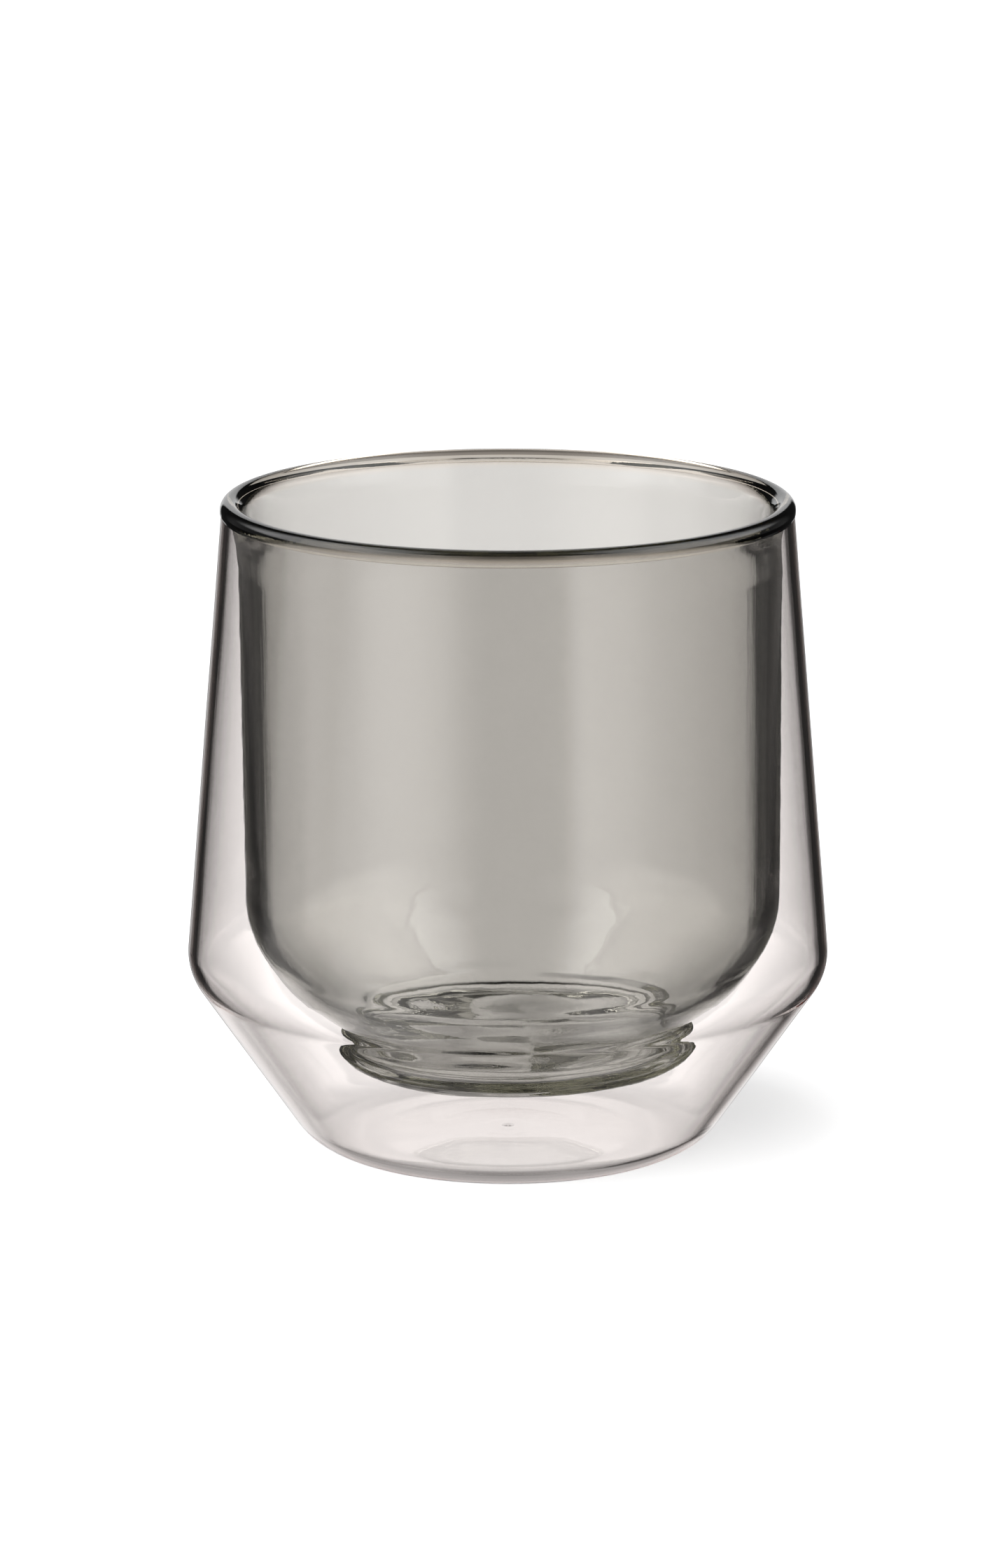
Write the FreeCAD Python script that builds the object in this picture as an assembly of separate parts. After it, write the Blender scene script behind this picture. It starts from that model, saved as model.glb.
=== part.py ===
"""Double-walled glass tumbler: a blown outer shell and an inner cup, fused at the rim.

Every piece is a body of revolution about Z. The glass stands on z = 0, with the origin at the centre
of its base. Outlines are drawn in the XZ half plane as (radius, height) corners, in millimetres, and
each corner has its own rounding.
"""
import FreeCAD, Part
import math
import os

# Overall size
HEIGHT = 92.0
JOINT_HEIGHT = 89.8          # where both walls meet the underside of the rim bead

# Outer shell, outside surface
SHELL_WALL = 1.2
SHELL_BASE_RADIUS = 27.5     # where the flat base and the lower cone would meet
SHELL_BASE_ROUNDING = 9.0
SHELL_SHOULDER_RADIUS = 45.2
SHELL_SHOULDER_HEIGHT = 25.6
SHELL_SHOULDER_ROUNDING = 7.4
SHELL_TOP_RADIUS = 39.8
STANDING_RING_RADIUS = 18.0  # the base is pushed up inside this circle
STANDING_RING_ROUNDING = 14.0
PUSH_UP = 0.9
PUSH_UP_RADIUS = 7.0         # the middle of the base is level inside this circle
PUSH_UP_ROUNDING = 60.0

# Inner cup, outside surface
CUP_WALL = 2.0
CUP_FLOOR_THICKNESS = 1.5
CUP_FOOT_RADIUS = 24.4       # where the flat bottom turns up into the heel
CUP_FOOT_ROUNDING = 2.4
CUP_HEEL_BOTTOM = 12.7
CUP_HEEL_RADIUS = 25.5
CUP_HEEL_HEIGHT = 1.6        # of the small ridge under the neck
CUP_HEEL_ROUNDING = 0.5
CUP_NECK_RADIUS = 23.5
CUP_NECK_HEIGHT = 15.2
CUP_NECK_ROUNDING = 1.0
CUP_CONE_RADIUS = 32.5       # where the lower cone steepens
CUP_CONE_HEIGHT = 24.0
CUP_CONE_ROUNDING = 20.0
CUP_SHOULDER_RADIUS = 37.5
CUP_SHOULDER_HEIGHT = 31.2
CUP_SHOULDER_ROUNDING = 16.0
CUP_SIDE_RADIUS = 37.75      # the wall is nearly straight up to here
CUP_SIDE_HEIGHT = 83.0
CUP_SIDE_ROUNDING = 14.0
CUP_FLARE_RADIUS = 37.85     # and flares out to the rim from here
CUP_FLARE_HEIGHT = 86.8
CUP_FLARE_ROUNDING = 8.0
CUP_TOP_RADIUS = 38.4

# Inner cup, inside surface where it is not parallel to the outside
FLOOR_RADIUS = 22.4
FLOOR_ROUNDING = 0.8
WAIST_ROUNDING = 1.5
MOUTH_FLARE_RADIUS = 35.6
MOUTH_FLARE_HEIGHT = 87.2
MOUTH_FLARE_ROUNDING = 9.5
MOUTH_RADIUS = 36.3          # at the rim bead

# Rim bead: a rounded top that slopes down to the inside
BEAD_INNER_RADIUS = 36.52
BEAD_INNER_HEIGHT = 90.6
BEAD_INNER_ROUNDING = 2.2
BEAD_CREST_RADIUS = 38.1
BEAD_CREST_ROUNDING = 1.2
BEAD_OUTER_RADIUS = 39.95
BEAD_OUTER_ROUNDING = 1.38
BEAD_LIP_HEIGHT = 90.2       # bottom of its upright side
BEAD_LIP_ROUNDING = 0.3

# Vent, the small hole that let the hot air out of the gap, and the glass gob that closes it
VENT_RADIUS = 1.5
VENT_SEAL_PROUD = 0.25       # how far the gob stands out of the base, outside and inside
VENT_SEAL_ROUNDING = 0.2
VENT_CUTTER_LENGTH = 5.0     # reaches through the base from below

AXIS_START = FreeCAD.Vector(0, 0, 0)
AXIS = FreeCAD.Vector(0, 0, 1)


def at(radius, height):
    """A point of an outline."""
    return FreeCAD.Vector(radius, 0, height)


def direction(start, end):
    """Unit vector from one point to another."""
    return (end - start).normalize()


def inset(corners, distance):
    """An open outline moved sideways, to the left of its direction, which is into the glass."""
    moved = []
    for index, corner in enumerate(corners):
        before = corners[max(index - 1, 0)]
        after = corners[min(index + 1, len(corners) - 1)]
        arriving = direction(before, corner) if index > 0 else direction(corner, after)
        leaving = direction(corner, after) if after != corner else arriving
        left_in = at(-arriving.z, arriving.x)
        left_out = at(-leaving.z, leaving.x)
        middle = (left_in + left_out).normalize()
        moved.append(corner + middle * (distance / middle.dot(left_in)))
    return moved


def rounded(corners, roundings):
    """Edges along a chain of corners, with an arc of the given radius at each inner corner."""
    edges = []
    start = corners[0]
    for corner, after, radius in zip(corners[1:-1], corners[2:], roundings):
        back = direction(corner, start)
        ahead = direction(corner, after)
        half_angle = back.getAngle(ahead) / 2
        reach = radius / math.tan(half_angle)
        to_centre = (back + ahead).normalize()
        nearest = corner + to_centre * (radius / math.sin(half_angle) - radius)
        first = corner + back * reach
        last = corner + ahead * reach
        edges.append(Part.LineSegment(start, first).toShape())
        edges.append(Part.Arc(first, nearest, last).toShape())
        start = last
    edges.append(Part.LineSegment(start, corners[-1]).toShape())
    return edges


def turned(edges):
    """Solid of revolution whose section is closed by the given edges."""
    section = Part.Face(Part.Wire(Part.__sortEdges__(edges)))
    solid = section.revolve(AXIS_START, AXIS, 360)
    return solid if solid.Volume > 0 else solid.reversed()


def line(start, end):
    """One straight edge."""
    return Part.LineSegment(start, end).toShape()


def make_outer_shell():
    """Thin blown shell: standing ring, lower cone, rounded shoulder and long tapering side."""
    outside = [
        at(0, PUSH_UP),
        at(PUSH_UP_RADIUS, PUSH_UP),
        at(STANDING_RING_RADIUS, 0),
        at(SHELL_BASE_RADIUS, 0),
        at(SHELL_SHOULDER_RADIUS, SHELL_SHOULDER_HEIGHT),
        at(SHELL_TOP_RADIUS, JOINT_HEIGHT),
    ]
    inside = inset(outside, SHELL_WALL)
    slope = (inside[-1].x - inside[-2].x) / (inside[-1].z - inside[-2].z)
    inside[-1] = at(inside[-2].x + slope * (JOINT_HEIGHT - inside[-2].z), JOINT_HEIGHT)
    outer_edges = rounded(
        outside,
        [PUSH_UP_ROUNDING, STANDING_RING_ROUNDING, SHELL_BASE_ROUNDING, SHELL_SHOULDER_ROUNDING],
    )
    inner_edges = rounded(
        inside,
        [
            PUSH_UP_ROUNDING - SHELL_WALL,
            STANDING_RING_ROUNDING + SHELL_WALL,
            SHELL_BASE_ROUNDING - SHELL_WALL,
            SHELL_SHOULDER_ROUNDING - SHELL_WALL,
        ],
    )
    closing = [line(outside[0], inside[0]), line(outside[-1], inside[-1])]
    shell = turned(outer_edges + inner_edges + closing)
    vent = Part.makeCylinder(VENT_RADIUS, VENT_CUTTER_LENGTH, at(0, -SHELL_WALL), AXIS)
    return shell.cut(vent)


def make_inner_cup():
    """The cup for the drink: straight side, two-slope coned bottom, neck, small heel, thin floor."""
    outside = [
        at(0, CUP_HEEL_BOTTOM),
        at(CUP_FOOT_RADIUS, CUP_HEEL_BOTTOM),
        at(CUP_HEEL_RADIUS, CUP_HEEL_BOTTOM + CUP_HEEL_HEIGHT),
        at(CUP_NECK_RADIUS, CUP_NECK_HEIGHT),
        at(CUP_CONE_RADIUS, CUP_CONE_HEIGHT),
        at(CUP_SHOULDER_RADIUS, CUP_SHOULDER_HEIGHT),
        at(CUP_SIDE_RADIUS, CUP_SIDE_HEIGHT),
        at(CUP_FLARE_RADIUS, CUP_FLARE_HEIGHT),
        at(CUP_TOP_RADIUS, JOINT_HEIGHT),
    ]
    waist, cone, shoulder, side = inset(outside[3:], CUP_WALL)[:4]
    floor_height = CUP_HEEL_BOTTOM + CUP_FLOOR_THICKNESS
    inside = [
        at(0, floor_height),
        at(FLOOR_RADIUS, floor_height),
        waist,
        cone,
        shoulder,
        side,
        at(MOUTH_FLARE_RADIUS, MOUTH_FLARE_HEIGHT),
        at(MOUTH_RADIUS, JOINT_HEIGHT),
    ]
    outer_edges = rounded(
        outside,
        [
            CUP_FOOT_ROUNDING,
            CUP_HEEL_ROUNDING,
            CUP_NECK_ROUNDING,
            CUP_CONE_ROUNDING,
            CUP_SHOULDER_ROUNDING,
            CUP_SIDE_ROUNDING,
            CUP_FLARE_ROUNDING,
        ],
    )
    inner_edges = rounded(
        inside,
        [
            FLOOR_ROUNDING,
            WAIST_ROUNDING,
            CUP_CONE_ROUNDING - CUP_WALL,
            CUP_SHOULDER_ROUNDING - CUP_WALL,
            CUP_SIDE_ROUNDING + CUP_WALL,
            MOUTH_FLARE_ROUNDING,
        ],
    )
    closing = [line(outside[0], inside[0]), line(outside[-1], inside[-1])]
    return turned(outer_edges + inner_edges + closing)


def make_rim_bead():
    """Fire-polished bead that fuses both walls and stands a little proud of the side."""
    section = [
        at(MOUTH_RADIUS, JOINT_HEIGHT),
        at(BEAD_INNER_RADIUS, BEAD_INNER_HEIGHT),
        at(BEAD_CREST_RADIUS, HEIGHT),
        at(BEAD_OUTER_RADIUS, HEIGHT),
        at(BEAD_OUTER_RADIUS, BEAD_LIP_HEIGHT),
        at(SHELL_TOP_RADIUS, JOINT_HEIGHT),
    ]
    roundings = [BEAD_INNER_ROUNDING, BEAD_CREST_ROUNDING, BEAD_OUTER_ROUNDING, BEAD_LIP_ROUNDING]
    return turned(rounded(section, roundings) + [line(section[0], section[-1])])


def make_vent_seal():
    """Gob of glass that fills the vent hole, rounded over where it stands out on both sides."""
    length = SHELL_WALL + 2 * VENT_SEAL_PROUD
    gob = Part.makeCylinder(VENT_RADIUS, length, at(0, PUSH_UP - VENT_SEAL_PROUD), AXIS)
    rims = [edge for edge in gob.Edges if edge.Curve.TypeId == "Part::GeomCircle"]
    return gob.makeFillet(VENT_SEAL_ROUNDING, rims)


PIECES = {
    "inner_cup": make_inner_cup,
    "outer_shell": make_outer_shell,
    "rim_bead": make_rim_bead,
    "vent_seal": make_vent_seal,
}

os.makedirs("parts", exist_ok=True)
for name, make in PIECES.items():
    shape = make()
    shape.exportStep("parts/" + name + ".step")
    box = shape.optimalBoundingBox()
    print(
        f"{name}: valid {shape.isValid()}, solids {len(shape.Solids)}, {shape.Volume / 1000:.2f} cm3,"
        f" radius {box.XMax:.2f}, z {box.ZMin:.2f} to {box.ZMax:.2f}"
    )
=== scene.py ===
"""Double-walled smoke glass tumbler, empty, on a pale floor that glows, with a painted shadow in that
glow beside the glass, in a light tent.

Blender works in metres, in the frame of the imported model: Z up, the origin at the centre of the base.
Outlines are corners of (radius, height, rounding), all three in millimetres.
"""

import math

import bpy
import numpy as np
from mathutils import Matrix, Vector, noise


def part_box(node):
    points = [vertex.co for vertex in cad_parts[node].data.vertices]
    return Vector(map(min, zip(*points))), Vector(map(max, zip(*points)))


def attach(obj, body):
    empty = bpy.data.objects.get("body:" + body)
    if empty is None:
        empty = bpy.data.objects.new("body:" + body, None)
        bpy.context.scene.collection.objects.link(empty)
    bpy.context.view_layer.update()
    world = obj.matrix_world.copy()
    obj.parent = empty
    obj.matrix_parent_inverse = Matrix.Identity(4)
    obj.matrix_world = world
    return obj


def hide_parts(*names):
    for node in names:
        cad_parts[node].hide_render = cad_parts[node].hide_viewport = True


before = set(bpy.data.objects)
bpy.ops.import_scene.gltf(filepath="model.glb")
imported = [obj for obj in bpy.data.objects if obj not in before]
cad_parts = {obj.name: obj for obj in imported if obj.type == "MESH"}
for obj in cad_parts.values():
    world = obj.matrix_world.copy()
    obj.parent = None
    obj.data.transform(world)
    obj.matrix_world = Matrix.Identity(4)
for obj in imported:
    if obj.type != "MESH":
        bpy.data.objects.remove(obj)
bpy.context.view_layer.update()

MM = 0.001                   # metres

# How finely the glass is turned
SEGMENTS = 288               # faces round the axis
STEP = 0.8                   # mm between points along an outline
TURN = math.radians(4)       # largest turn between two points of an arc
SHARP = math.radians(50)     # edges that turn more than this stay crisp
FUSED_GAP = 0.004            # mm between two fused pieces, so that each one stays closed

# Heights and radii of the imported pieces, in millimetres
JOINT_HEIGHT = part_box("rim_bead")[0][2] / MM
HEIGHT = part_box("rim_bead")[1][2] / MM
HEEL_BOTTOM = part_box("inner_cup")[0][2] / MM
VENT_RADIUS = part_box("vent_seal")[1][0] / MM

SHELL_WALL = 1.2
SHELL_TOP_RADIUS = 39.8
PUSH_UP = 0.9                # of the base, inside its standing ring
CUP_WALL = 2.0
CUP_TOP_RADIUS = 38.4
CUP_FLOOR_THICKNESS = 1.5
BEAD_RADIUS = 39.95
MOUTH_RADIUS = 36.3          # inside, at the joint
MOUTH_FLARE_HEIGHT = 87.2    # inside, where the wall starts to open out
CAVITY_ROOF = 0.12           # rise of the closed end of the gap above the joint
CAVITY_SET_IN = 0.02         # of that end, from the cup's wall

# Low drop of glass over the vent
SEAL_RADIUS = 0.6 * VENT_RADIUS
SEAL_RISE = 0.03
SEAL_STEPS = 10

# Hand-made unevenness, in millimetres
CUP_SHIFT = 0.27             # the side of the cup stands this far to the right of the rim
SHIFT_FADE = 20              # and is all there 1 / 20 of the way down from the mouth
CUP_LEAN = 0.7               # the foot leans this much further
CUP_TILT = math.radians(1.0)
HEEL_SHIFT = 0.5             # step of the heel under the neck
HEEL_TOP, HEEL_FADE = 16.2, 1.5
WALL_WAVE = 0.035
WALL_WAVE_LENGTH = 14.0
WALL_WAVE_FADE = 8           # the cup is round at the rim and fully wavy 1 / 8 of the way down
FLOOR_WAVE = 1.2
FLOOR_WAVE_LENGTH = 8.0
FLOOR_WAVE_STRETCH = (0.6, 1.0, 2.0)     # of the noise that shapes the floor
FLOOR_TOP, FLOOR_EDGE, FLOOR_FADE = 22.0, 24.5, 4.0


# ---------------------------------------------------------------- outlines
def places(corners):
    return [(radius, height) for radius, height, rounding in corners]


def roundings(corners):
    return [rounding for radius, height, rounding in corners]


def inset(corners, distance):
    """An open outline moved sideways, to the left of its direction, which is into the glass."""
    points = [np.array(corner, float) for corner in corners]
    runs = [(b - a) / np.linalg.norm(b - a) for a, b in zip(points, points[1:])]
    moved = []
    for index, point in enumerate(points):
        arriving = runs[max(index - 1, 0)]
        leaving = runs[min(index, len(runs) - 1)]
        left_in = np.array((-arriving[1], arriving[0]))
        left_out = np.array((-leaving[1], leaving[0]))
        middle = left_in + left_out
        middle /= np.linalg.norm(middle)
        moved.append(point + middle * distance / middle.dot(left_in))
    return moved


def rounded(corners):
    """Points along a chain of corners, with an arc at each corner between the two ends."""
    chain = places(corners)
    points = [np.array(chain[0], float)]

    def run_to(end):
        start = points[-1]
        length = np.linalg.norm(end - start)
        count = math.ceil(length / STEP) if length > FUSED_GAP else 0
        points.extend(start + (end - start) * k / count for k in range(1, count + 1))

    for corner, after, radius in zip(chain[1:-1], chain[2:], roundings(corners[1:-1])):
        corner = np.array(corner, float)
        back = points[-1] - corner
        back /= np.linalg.norm(back)
        ahead = np.array(after, float) - corner
        ahead /= np.linalg.norm(ahead)
        half_angle = math.acos(np.clip(back.dot(ahead), -1, 1)) / 2
        reach = radius / math.tan(half_angle)
        middle = (back + ahead) / np.linalg.norm(back + ahead)
        centre = corner + middle * radius / math.sin(half_angle)
        first = corner + back * reach - centre
        last = corner + ahead * reach - centre
        sweep = math.pi - 2 * half_angle
        sign = math.copysign(1, first[0] * last[1] - first[1] * last[0])
        run_to(centre + first)
        count = max(2, math.ceil(sweep / TURN)) if radius else 0
        for k in range(1, count + 1):
            c, s = math.cos(sign * sweep * k / count), math.sin(sign * sweep * k / count)
            points.append(centre + (c * first[0] - s * first[1], s * first[0] + c * first[1]))
    run_to(np.array(chain[-1], float))
    return points


def shell_outline():
    """Both faces of the outer shell, from the axis up the outside and down the inside."""
    outside = [
        (0, PUSH_UP, 0),
        (7.0, PUSH_UP, 60),                     # edge of the level middle of the base
        (18.0, 0, 14),                          # standing ring
        (27.5, 0, 9),                           # foot of the lower cone
        (45.2, 25.6, 7.4),                      # shoulder
        (SHELL_TOP_RADIUS, JOINT_HEIGHT, 0),
    ]
    wall_sides = (0, -1, 1, -1, -1, 0)          # how each rounding changes through the wall
    inner = inset(places(outside), SHELL_WALL)
    inside = rounded([
        (*place, rounding + side * SHELL_WALL)
        for place, rounding, side in zip(inner, roundings(outside), wall_sides)
    ])
    lean = (inner[-1][0] - inner[-2][0]) / (inner[-1][1] - inner[-2][1])
    inside[-1] = np.array((inner[-2][0] + lean * (JOINT_HEIGHT - inner[-2][1]), JOINT_HEIGHT))
    return rounded(outside) + inside[::-1]


def cup_outline():
    """The cup with the rim bead on it, from the axis up the outside, over the rim and down inside."""
    bottom = [
        (0, HEEL_BOTTOM, 0),
        (24.4, HEEL_BOTTOM, 2.4),               # foot
        (25.5, HEEL_BOTTOM + 1.6, 0.5),         # heel
    ]
    side = [
        (23.5, 15.2, 1.0),                      # neck
        (32.5, 24.0, 20),                       # where the cone steepens
        (37.5, 31.2, 16),                       # shoulder
        (37.75, 83.0, 14),                      # end of the straight wall
        (37.85, 86.8, 8),                       # start of the flare
        (CUP_TOP_RADIUS, JOINT_HEIGHT, 0),
    ]
    roof = JOINT_HEIGHT + FUSED_GAP + CAVITY_ROOF
    shell_inner = SHELL_TOP_RADIUS - SHELL_WALL
    rim = [
        (CUP_TOP_RADIUS + CAVITY_SET_IN, roof, 0),
        (shell_inner, roof, 0),
        (shell_inner, JOINT_HEIGHT + FUSED_GAP, 0),
        (SHELL_TOP_RADIUS, JOINT_HEIGHT + FUSED_GAP, 0),
        (BEAD_RADIUS, 90.2, 0.15),              # lip
        (BEAD_RADIUS, HEIGHT, 1.38),            # crown
        (38.1, HEIGHT, 1.2),                    # crest
        (36.52, 90.6, 2.2),                     # inner side of the bead
        (MOUTH_RADIUS, JOINT_HEIGHT, 0),
    ]
    neck, cone, shoulder, straight = inset(places(side), CUP_WALL)[:4]
    cone_rounding, shoulder_rounding, straight_rounding = roundings(side)[1:4]
    floor_height = HEEL_BOTTOM + CUP_FLOOR_THICKNESS
    inside = [
        (35.6, MOUTH_FLARE_HEIGHT, 9.5),
        (*straight, straight_rounding + CUP_WALL),
        (*shoulder, shoulder_rounding - CUP_WALL),
        (*cone, cone_rounding - CUP_WALL),
        (*neck, 1.5),
        (22.4, floor_height, 0.8),              # edge of the floor
        (0, floor_height, 0),
    ]
    return rounded(bottom + side + rim + inside)


def seal_outline():
    """Low drop of glass on the inside of the base, over the vent that it closed."""
    base = PUSH_UP + SHELL_WALL + FUSED_GAP
    across = [SEAL_RADIUS * k / SEAL_STEPS for k in range(SEAL_STEPS + 1)]
    under = [(r, base) for r in across]
    dome = [(r, base + SEAL_RISE * (1 - (r / SEAL_RADIUS) ** 2) ** 2) for r in across[:-1]]
    return under + dome[::-1]


# ---------------------------------------------------------------- turned meshes
def lathe(name, outline, uneven):
    """Closed mesh of revolution whose outline runs from the axis to the axis."""
    ring = np.array(outline[1:-1])
    rows = len(ring)
    angles = np.arange(SEGMENTS) * 2 * math.pi / SEGMENTS
    points = [(r * math.cos(a), r * math.sin(a), z) for r, z in ring for a in angles]
    points += [(0, 0, outline[0][1]), (0, 0, outline[-1][1])]
    foot, top = len(points) - 2, len(points) - 1
    end = (rows - 1) * SEGMENTS
    faces = []
    for k in range(SEGMENTS):
        n = (k + 1) % SEGMENTS
        faces.append((foot, n, k))
        for start in range(0, end, SEGMENTS):
            after = start + SEGMENTS
            faces.append((start + k, start + n, after + n, after + k))
        faces.append((top, end + k, end + n))
    mesh = bpy.data.meshes.new(name)
    mesh.from_pydata([Vector(uneven(*p)) * MM for p in points], [], faces)
    mesh.validate()
    mesh.shade_smooth()
    mesh.set_sharp_from_angle(angle=SHARP)
    piece = bpy.data.objects.new(name, mesh)
    bpy.context.scene.collection.objects.link(piece)
    return piece


def wave(x, y, z, length, seed):
    """Smooth noise between about -1 and 1, the same on every run."""
    return noise.noise(Vector((x / length + seed, y / length - seed, z / length)))


def inside_of(value, edge, fade):
    """1 well below an edge, fading to 0 at it."""
    return min(1.0, max(0.0, (edge - value) / fade))


def shell_shape(x, y, z):
    """The shell's side is not quite round."""
    swell = 1 + WALL_WAVE * wave(x, y, z, WALL_WAVE_LENGTH, 3.1) / SHELL_TOP_RADIUS
    return x * swell, y * swell, z


def cup_shape(x, y, z):
    """The cup hangs from the rim, a little off the axis and tilted, with an uneven floor."""
    drop = max(0.0, (MOUTH_FLARE_HEIGHT - z) / MOUTH_FLARE_HEIGHT)
    wall_wave = WALL_WAVE * min(1.0, WALL_WAVE_FADE * drop) * wave(x, y, z, WALL_WAVE_LENGTH, 7.7)
    swell = 1 + wall_wave / MOUTH_RADIUS
    x, y = x * swell, y * swell
    floor = inside_of(z, FLOOR_TOP, FLOOR_FADE) * inside_of(math.hypot(x, y), FLOOR_EDGE, FLOOR_FADE)
    across, along, up = FLOOR_WAVE_STRETCH
    z += floor * FLOOR_WAVE * wave(across * x, along * y, up * z, FLOOR_WAVE_LENGTH, 1.3)
    foot = inside_of(z, HEEL_TOP, HEEL_FADE)
    z += x * math.tan(CUP_TILT) * drop ** 2
    shift = CUP_SHIFT * min(1.0, SHIFT_FADE * drop) + CUP_LEAN * drop + HEEL_SHIFT * foot
    return x + shift, y, z


def true_shape(x, y, z):
    return x, y, z


# ---------------------------------------------------------------- shader nodes
def math_node(tree, operation, *values):
    node = tree.nodes.new("ShaderNodeMath")
    node.operation = operation
    for socket, value in zip(node.inputs, values):
        if isinstance(value, bpy.types.NodeSocket):
            tree.links.new(value, socket)
        else:
            socket.default_value = value
    return node.outputs[0]


def times(tree, product, *others):
    for other in others:
        product = math_node(tree, "MULTIPLY", product, other)
    return product


def plus(tree, total, *others):
    for other in others:
        total = math_node(tree, "ADD", total, other)
    return total


def ramp(tree, value, start, end, low=0.0, high=1.0):
    """low before start, high after end, smooth between."""
    node = tree.nodes.new("ShaderNodeMapRange")
    node.interpolation_type = "SMOOTHSTEP"
    tree.links.new(value, node.inputs["Value"])
    node.inputs["From Min"].default_value = start
    node.inputs["From Max"].default_value = end
    node.inputs["To Min"].default_value = low
    node.inputs["To Max"].default_value = high
    return node.outputs["Result"]


def window(tree, value, low, high, low_soft, high_soft):
    """1 between two limits, fading over the given widths."""
    rise = ramp(tree, value, low - low_soft / 2, low + low_soft / 2)
    fall = ramp(tree, value, high - high_soft / 2, high + high_soft / 2, 1.0, 0.0)
    return times(tree, rise, fall)


# ---------------------------------------------------------------- materials
IOR = 1.47
CLEAR_COAT = (1, 1, 1)
CLEAR_ABSORBED = (18, 38, 46)            # per metre, for red, green and blue
CLEAR_STREAKS = (300, 300, 12)           # per metre, so that they run up the wall
CLEAR_STREAK_DEPTH = 0.000006
SMOKE_COAT = (0.75, 0.749, 0.735)
SMOKE_RIM_COAT = (0.8, 0.71, 0.62)
SMOKE_ABSORBED = (26, 26, 32)
SMOKE_STREAKS = (420, 420, 14)
SMOKE_STREAK_DEPTH = 0.000012
RIM_START, RIM_END = 89.4, 90.8          # mm, where the coat turns warmer
FACTOR, COLOUR_A, COLOUR_B, COLOUR = 0, 6, 7, 2    # sockets of a node that mixes two colours
VOLUME_DENSITY = 1000.0


def glass(name, coat, rim_coat, absorbed, streak, streak_depth):
    """Blown glass with a thin coat, which takes away a little more light with depth.

    A wall lets through the colour of its coat, which can differ at the fire-polished rim. Fine draw
    streaks run up the wall.
    """
    material = bpy.data.materials.new(name)
    material.use_nodes = True
    nodes, links = material.node_tree.nodes, material.node_tree.links
    shader = nodes["Principled BSDF"]
    shader.inputs["Roughness"].default_value = 0.0
    shader.inputs["IOR"].default_value = IOR
    shader.inputs["Transmission Weight"].default_value = 1.0

    place = nodes.new("ShaderNodeTexCoord")
    split = nodes.new("ShaderNodeSeparateXYZ")
    links.new(place.outputs["Object"], split.inputs["Vector"])
    rim = ramp(material.node_tree, split.outputs["Z"], RIM_START * MM, RIM_END * MM)
    tint = nodes.new("ShaderNodeMix")
    tint.data_type = "RGBA"
    tint.inputs[COLOUR_A].default_value = (*coat, 1)
    tint.inputs[COLOUR_B].default_value = (*rim_coat, 1)
    links.new(rim, tint.inputs[FACTOR])
    links.new(tint.outputs[COLOUR], shader.inputs["Base Color"])

    stretch = nodes.new("ShaderNodeMapping")
    stretch.inputs["Scale"].default_value = streak
    links.new(place.outputs["Object"], stretch.inputs["Vector"])
    streaks = nodes.new("ShaderNodeTexNoise")
    streaks.inputs["Scale"].default_value = 1.0
    streaks.inputs["Detail"].default_value = 3.0
    links.new(stretch.outputs["Vector"], streaks.inputs["Vector"])
    bump = nodes.new("ShaderNodeBump")
    bump.inputs["Strength"].default_value = 1.0
    bump.inputs["Distance"].default_value = streak_depth
    links.new(streaks.outputs["Fac"], bump.inputs["Height"])
    links.new(bump.outputs["Normal"], shader.inputs["Normal"])

    volume = nodes.new("ShaderNodeVolumeAbsorption")
    volume.inputs["Density"].default_value = VOLUME_DENSITY
    volume.inputs["Color"].default_value = (*[1 - k / VOLUME_DENSITY for k in absorbed], 1)
    links.new(volume.outputs["Volume"], nodes["Material Output"].inputs["Volume"])
    return material


def build_glass():
    smoke = glass(
        "smoke_glass", SMOKE_COAT, SMOKE_RIM_COAT, SMOKE_ABSORBED, SMOKE_STREAKS, SMOKE_STREAK_DEPTH
    )
    clear = glass(
        "clear_glass", CLEAR_COAT, CLEAR_COAT, CLEAR_ABSORBED, CLEAR_STREAKS, CLEAR_STREAK_DEPTH
    )
    pieces = (
        ("outer_shell_glass", shell_outline(), shell_shape, clear, "outer_glass", ["outer_shell"]),
        ("inner_cup_glass", cup_outline(), cup_shape, smoke, "inner_glass", ["inner_cup", "rim_bead"]),
        ("vent_seal_glass", seal_outline(), true_shape, clear, "seal_glass", ["vent_seal"]),
    )
    for name, outline, uneven, material, slot, nodes in pieces:
        piece = lathe(name, outline, uneven)
        piece.data.materials.append(material)
        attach(piece, "root")
        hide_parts(*nodes)


# ---------------------------------------------------------------- light tent
# Azimuth is 0 straight behind the glass, as the camera sees it, and grows to the right. Elevation is up
# from level. Both are in degrees. A window is (from, to, softness of the two ends), and a ramp is
# (from, to, value before, value after).
# Windows: BACK_SWEEP, SWEEP_FLAG, the boxes, STRIP, BOX_HEIGHT, REFLECTED_SWEEP, REFLECTED_HEIGHT,
# LEVEL_BAND, HIGH_SIDES, HIGH_HEIGHT, SIDE_WALLS and SIDE_BAND. The other groups of four are ramps.
SWEEP_LIGHT = 1.12                       # of what is seen through the glass
BACK_SWEEP = (-17.5, 15, 7, 6)
SWEEP_EVERY = 45                         # it repeats round the tent
SWEEP_FLAG = (25, 65, 8, 8)              # but for the two places beside the first one
LOW_SPREAD = (-38, -16, 2.6, 1.0)        # it opens out towards the table,
TABLE_DIM = (-44, -20, 0.2, 1.0)         # and dims there
LOW_DIM = (-23, -15, 0.74, 1.0)
SWEEP_TOP = (22, 40, 1.0, 0.0)
NADIR = (-66, -50, 0.5, 0.0)             # light from straight below
BACK_AMBIENT = 0.012

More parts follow.
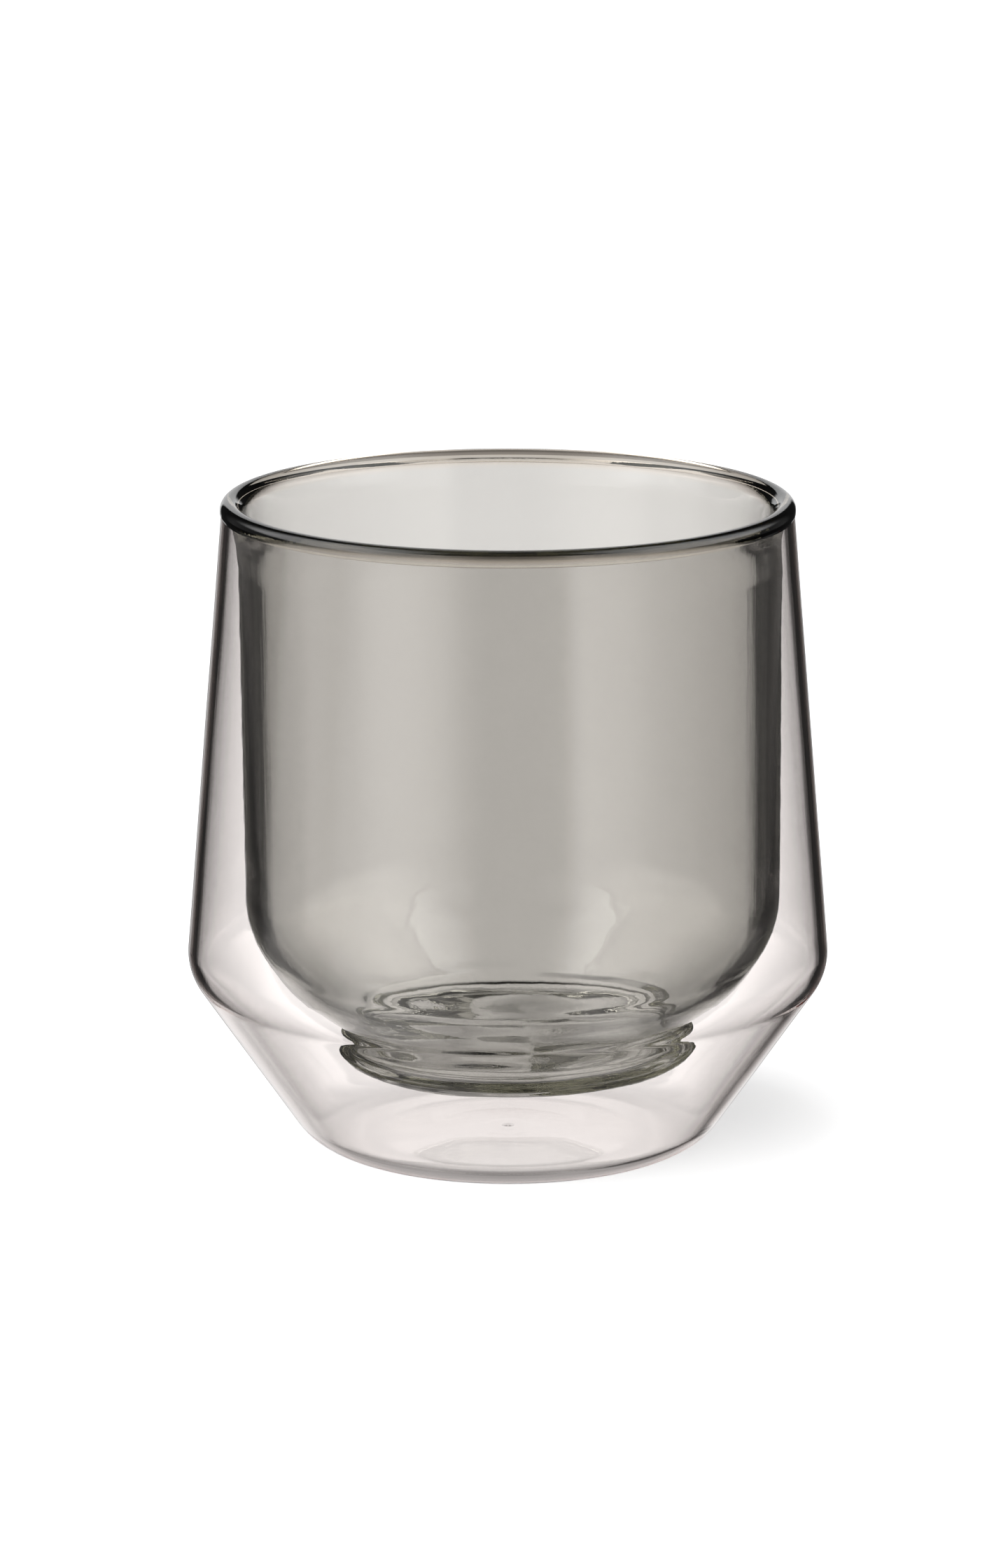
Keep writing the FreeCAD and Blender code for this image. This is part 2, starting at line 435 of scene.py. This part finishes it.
LEFT_BOX, LEFT_LIGHT = (-155, -113, 40, 30), 1.12
RIGHT_BOX, RIGHT_LIGHT = (126, 154.5, 56, 13), 0.82
STRIP, STRIP_LIGHT = (-106, -82, 12, 10), 0.5
BOX_HEIGHT = (-42, 55, 30, 16)
REFLECTED_SWEEP, REFLECTED_LIGHT = (-15.5, 11.5, 3, 4), 0.9
REFLECTED_HEIGHT = (-64, 60, 16, 16)
REFLECTED_SPREAD = (-36, -18, 2.0, 1.0)
REFLECTED_DIM = (-38, -22, 0.42, 1.0)
LEVEL_BAND, LEVEL_DIM = (-19, -8, 3, 3), -0.55
OVERHEAD = (55, 70, 0.0, 0.15)
HIGH_SIDES, HIGH_HEIGHT, HIGH_LIGHT = (50, 125, 30, 30), (14, 70, 12, 20), 2.5
FRONT_AMBIENT = 0.02

SIDE_WALLS, SIDE_LIGHT = (34, 135, 14, 20), 0.09
SIDE_BAND = (-19.5, -8, 3, 4)            # what the upright walls of the glass show stays dark

SKY_LIGHT = 0.12                         # even light on the floor


def side_walls(tree, aside, elevation):
    """The sides of the tent, dark only in the band that the upright walls of the glass show."""
    band = window(tree, elevation, *SIDE_BAND)
    above_and_below = math_node(tree, "SUBTRACT", 1.0, band)
    return times(tree, window(tree, aside, *SIDE_WALLS), above_and_below, SIDE_LIGHT)


def light_behind(tree, azimuth, elevation):
    """What is seen through the glass: a lit sweep behind it, with dark flags on both sides.

    The sweep repeats round the tent, so that the glass reads the same from every side. It dims
    towards the table, and opens out there.
    """
    half = SWEEP_EVERY / 2
    across = math_node(tree, "WRAP", azimuth, half, -half)
    across = math_node(tree, "DIVIDE", across, ramp(tree, elevation, *LOW_SPREAD))
    aside = math_node(tree, "ABSOLUTE", azimuth)
    flag = window(tree, aside, *SWEEP_FLAG)
    sweep = times(tree, window(tree, across, *BACK_SWEEP), math_node(tree, "SUBTRACT", 1.0, flag))
    ring = plus(tree, sweep, side_walls(tree, aside, elevation))
    rise = times(tree, ramp(tree, elevation, *TABLE_DIM), ramp(tree, elevation, *LOW_DIM))
    light = times(tree, ring, rise, ramp(tree, elevation, *SWEEP_TOP))
    light = times(tree, plus(tree, light, ramp(tree, elevation, *NADIR)), SWEEP_LIGHT)
    return plus(tree, light, BACK_AMBIENT)


def light_in_front(tree, azimuth, elevation):
    """What the glass reflects: soft boxes on both sides of the camera, and a dim tent."""
    left = times(tree, window(tree, azimuth, *LEFT_BOX), LEFT_LIGHT)
    right = times(tree, window(tree, azimuth, *RIGHT_BOX), RIGHT_LIGHT)
    strip = times(tree, window(tree, azimuth, *STRIP), STRIP_LIGHT)
    boxes = times(tree, plus(tree, left, right, strip), window(tree, elevation, *BOX_HEIGHT))

    across = math_node(tree, "DIVIDE", azimuth, ramp(tree, elevation, *REFLECTED_SPREAD))
    behind = times(tree, window(tree, across, *REFLECTED_SWEEP), REFLECTED_LIGHT)
    level = plus(tree, times(tree, window(tree, elevation, *LEVEL_BAND), LEVEL_DIM), 1.0)
    height = window(tree, elevation, *REFLECTED_HEIGHT)
    sweep = times(tree, behind, height, ramp(tree, elevation, *REFLECTED_DIM), level)

    aside = math_node(tree, "ABSOLUTE", azimuth)
    high = window(tree, aside, *HIGH_SIDES)
    high = times(tree, high, window(tree, elevation, *HIGH_HEIGHT), HIGH_LIGHT)
    overhead = plus(tree, ramp(tree, elevation, *OVERHEAD), high)
    walls = side_walls(tree, aside, elevation)
    return plus(tree, boxes, sweep, walls, overhead, FRONT_AMBIENT)


def choose(tree, test, other, chosen):
    """chosen where test is 1, other where it is 0."""
    node = tree.nodes.new("ShaderNodeMix")
    for name, value in (("Factor", test), ("A", other), ("B", chosen)):
        if isinstance(value, bpy.types.NodeSocket):
            tree.links.new(value, node.inputs[name])
        else:
            node.inputs[name].default_value = value
    return node.outputs["Result"]


def build_world(scene):
    """Transmitted, reflected, diffuse and camera rays each see their own light."""
    world = bpy.data.worlds.new("light_tent")
    scene.world = world
    world.use_nodes = True
    tree = world.node_tree
    place = tree.nodes.new("ShaderNodeTexCoord")
    split = tree.nodes.new("ShaderNodeSeparateXYZ")
    tree.links.new(place.outputs["Generated"], split.inputs["Vector"])
    azimuth = math_node(tree, "ARCTAN2", split.outputs["X"], split.outputs["Y"])
    azimuth = math_node(tree, "DEGREES", azimuth)
    elevation = math_node(tree, "DEGREES", math_node(tree, "ARCSINE", split.outputs["Z"]))
    path = tree.nodes.new("ShaderNodeLightPath")
    reflected = math_node(tree, "GREATER_THAN", path.outputs["Glossy Depth"], 0.5)
    behind = light_behind(tree, azimuth, elevation)
    light = choose(tree, reflected, behind, light_in_front(tree, azimuth, elevation))
    light = choose(tree, path.outputs["Is Diffuse Ray"], light, SKY_LIGHT)
    light = choose(tree, path.outputs["Is Camera Ray"], light, 1.0)
    background = tree.nodes["Background"]
    background.inputs["Color"].default_value = (1, 1, 1, 1)
    tree.links.new(light, background.inputs["Strength"])


# ---------------------------------------------------------------- floor, key light and camera
FLOOR_SIZE = 6
FLOOR_DROP = 0.02 * MM                   # below the glass, so that their faces don't meet
FLOOR_COLOUR = (0.9, 0.9, 0.91, 1)
PAINTED_SHADOW_GLOW = 0.60                        # the floor's own light at the middle of a painted shadow, where it is dimmest; it deepens the shadow that the key light casts
                                         # deepens the shadow
PAINTED_SHADOW_CENTRE = (0.013, 0.016, 0)          # metres, the middle of that painted shadow, to the right of the axis and behind it
PAINTED_SHADOW_INNER, PAINTED_SHADOW_OUTER = 0.014, 0.052    # metres from there, where the painted shadow starts to fade and where the floor's light reaches 1
KEY_POWER = 2.6                          # watts
KEY_SIZE = 0.55                          # metres across
KEY_PLACE = (-0.22, -0.12, 0.9)

FRAME_WIDTH = 1440
AXIS_COLUMN = 725.6                      # where the object's axis falls in the frame
FOCAL_LENGTH = 9438.0                    # in pixels of the frame
CAMERA_DISTANCE = 0.9016                 # level distance from the axis
CAMERA_HEIGHT = 0.2597
CAMERA_TILT = math.radians(13.02)
SENSOR_WIDTH = 36.0

LIGHT_BOUNCES = 64                       # light bounces many times inside the walls


def build_floor():
    bpy.ops.mesh.primitive_plane_add(size=FLOOR_SIZE, location=(0, 0, -FLOOR_DROP))
    ground = bpy.context.object
    ground.name = "pale_floor"
    material = bpy.data.materials.new("pale_floor")
    material.use_nodes = True
    tree = material.node_tree
    shader = tree.nodes["Principled BSDF"]
    shader.inputs["Base Color"].default_value = FLOOR_COLOUR
    shader.inputs["Roughness"].default_value = 1.0
    shader.inputs["Specular IOR Level"].default_value = 0.0
    shader.inputs["Emission Color"].default_value = (1, 1, 1, 1)
    # painted shadow: the floor's own light is dimmer near a place to the right of the glass and behind
    # it
    place = tree.nodes.new("ShaderNodeTexCoord")
    away = tree.nodes.new("ShaderNodeVectorMath")
    away.operation = "DISTANCE"
    tree.links.new(place.outputs["Object"], away.inputs[0])
    away.inputs[1].default_value = PAINTED_SHADOW_CENTRE
    glow_with_painted_shadow = ramp(tree, away.outputs["Value"], PAINTED_SHADOW_INNER, PAINTED_SHADOW_OUTER, PAINTED_SHADOW_GLOW, 1.0)
    tree.links.new(glow_with_painted_shadow, shader.inputs["Emission Strength"])
    ground.data.materials.append(material)
    ground.visible_transmission = False
    ground.visible_glossy = False
    ground.visible_diffuse = False


def build_key(scene):
    """Large soft lamp above and to the left, for the shadow on the floor."""
    lamp = bpy.data.lights.new("key_light", "AREA")
    lamp.energy = KEY_POWER
    lamp.size = KEY_SIZE
    key = bpy.data.objects.new("key_light", lamp)
    scene.collection.objects.link(key)
    key.location = KEY_PLACE
    key.rotation_euler = (-Vector(KEY_PLACE)).to_track_quat("-Z", "Y").to_euler()
    key.visible_glossy = False
    key.visible_transmission = False


def build_camera(scene):
    data = bpy.data.cameras.new("camera")
    camera = bpy.data.objects.new("camera", data)
    scene.collection.objects.link(camera)
    scene.camera = camera
    camera.location = (0, -CAMERA_DISTANCE, CAMERA_HEIGHT)
    camera.rotation_euler = (math.pi / 2 - CAMERA_TILT, 0, 0)
    data.sensor_fit = "HORIZONTAL"
    data.sensor_width = SENSOR_WIDTH
    data.lens = FOCAL_LENGTH / FRAME_WIDTH * SENSOR_WIDTH
    data.shift_x = 0.5 - AXIS_COLUMN / FRAME_WIDTH
    data.clip_start = 0.01


def build_studio():
    scene = bpy.context.scene
    scene.view_settings.view_transform = "Standard"
    scene.cycles.max_bounces = LIGHT_BOUNCES
    scene.cycles.transmission_bounces = LIGHT_BOUNCES
    scene.cycles.glossy_bounces = LIGHT_BOUNCES
    build_world(scene)
    build_floor()
    build_key(scene)
    build_camera(scene)


build_glass()
build_studio()
